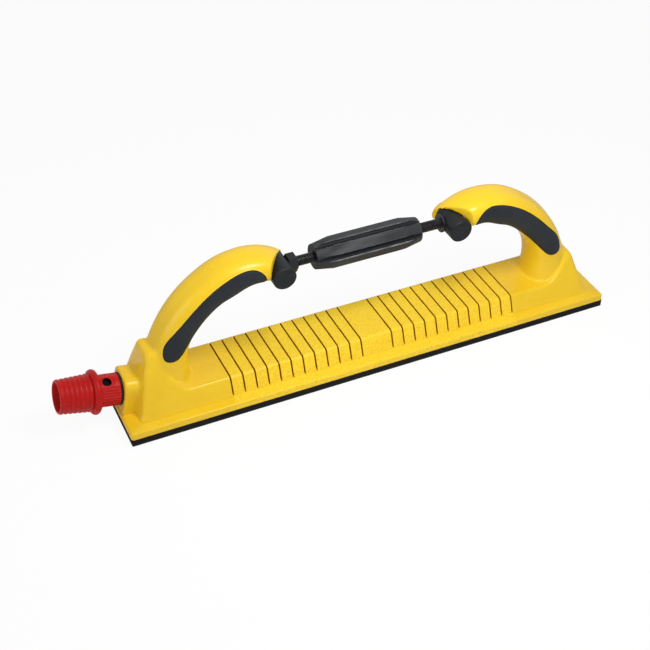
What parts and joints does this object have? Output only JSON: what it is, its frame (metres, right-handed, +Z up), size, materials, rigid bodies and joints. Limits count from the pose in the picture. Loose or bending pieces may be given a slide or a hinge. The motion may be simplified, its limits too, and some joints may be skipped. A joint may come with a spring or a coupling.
{
  "type": "adjustable sanding block",
  "caption": "Long slotted hand sanding block with horn handles at both ends, a threaded spindle between them that bends the base and a dust hose connector.",
  "frame": {"origin": "centre of the sanding face, the underside of the hook sheet", "axes": "+X along the block away from the hose connector, +Z up to the handles, -Y the side towards which the handle tips are cut open"},
  "size_m": [0.4441, 0.07, 0.1176],
  "materials": {
    "yellow_moulding": "glossy moulded plastic",
    "soft_grip": "satin soft grip",
    "pad_foam": "matt closed-cell foam",
    "hook_fabric": "hook fabric",
    "swivel_black": "satin black",
    "screw_steel": "plain steel",
    "washer_steel": "dark plated steel",
    "rod_black": "blackened steel",
    "barrel_grey": "satin dark grey",
    "seal_rubber": "matt rubber",
    "connector_red": "satin moulded plastic"
  },
  "bodies": {
    "base": {"base_centre": "yellow_moulding", "flex_deck_left": "yellow_moulding", "flex_deck_right": "yellow_moulding", "pad_centre": "pad_foam", "pad_left": "pad_foam", "pad_right": "pad_foam", "hook_centre": "hook_fabric", "hook_left": "hook_fabric", "hook_right": "hook_fabric"},
    "left_end": {"end_left": "yellow_moulding", "grip_left": "soft_grip", "pad_left_end": "pad_foam", "hook_left_end": "hook_fabric", "port_seal": "seal_rubber"},
    "right_end": {"end_right": "yellow_moulding", "grip_right": "soft_grip", "pad_right_end": "pad_foam", "hook_right_end": "hook_fabric"},
    "left_swivel": {"swivel_left": "swivel_black", "pivot_screw_left": "screw_steel", "lock_nut": "rod_black"},
    "right_swivel": {"swivel_right": "swivel_black", "pivot_screw_right": "screw_steel", "washer": "washer_steel"},
    "spindle": {"threaded_rod": "rod_black", "barrel": "barrel_grey"},
    "connector": {"hose_connector": "connector_red"}
  },
  "joints": [
    {"name": "spindle_turn", "type": "hinge", "parent": "base", "child": "spindle", "pos_m": [0, 0, 0.098], "axis": [1, 0, 0], "range_deg": [-2013, 2013]},
    {"name": "left_flex", "type": "hinge", "parent": "base", "child": "left_end", "pos_m": [-0.0717, 0, 0.009], "axis": [0, 1, 0], "range_deg": [-4.5, 4.5], "deforming": ["flex_deck_left", "pad_left", "hook_left"]},
    {"name": "right_flex", "type": "hinge", "parent": "base", "child": "right_end", "pos_m": [0.0717, 0, 0.009], "axis": [0, 1, 0], "range_deg": [-4.5, 4.5], "deforming": ["flex_deck_right", "pad_right", "hook_right"]},
    {"name": "left_swivel_turn", "type": "hinge", "parent": "left_end", "child": "left_swivel", "pos_m": [-0.0717, 0, 0.098], "axis": [0, 1, 0], "range_deg": [-4.5, 4.5]},
    {"name": "right_swivel_turn", "type": "hinge", "parent": "right_end", "child": "right_swivel", "pos_m": [0.0717, 0, 0.098], "axis": [0, 1, 0], "range_deg": [-4.5, 4.5]},
    {"name": "connector_turn", "type": "hinge", "parent": "left_end", "child": "connector", "pos_m": [-0.1965, 0, 0.0266], "axis": [-0.9848, 0, 0.1736], "continuous": true}
  ],
  "couplings": [
    {"joint": "left_flex", "follows": "spindle_turn", "ratio": 0.0022353},
    {"joint": "right_flex", "follows": "spindle_turn", "ratio": -0.0022353},
    {"joint": "left_swivel_turn", "follows": "spindle_turn", "ratio": -0.0022353},
    {"joint": "right_swivel_turn", "follows": "spindle_turn", "ratio": 0.0022353}
  ]
}
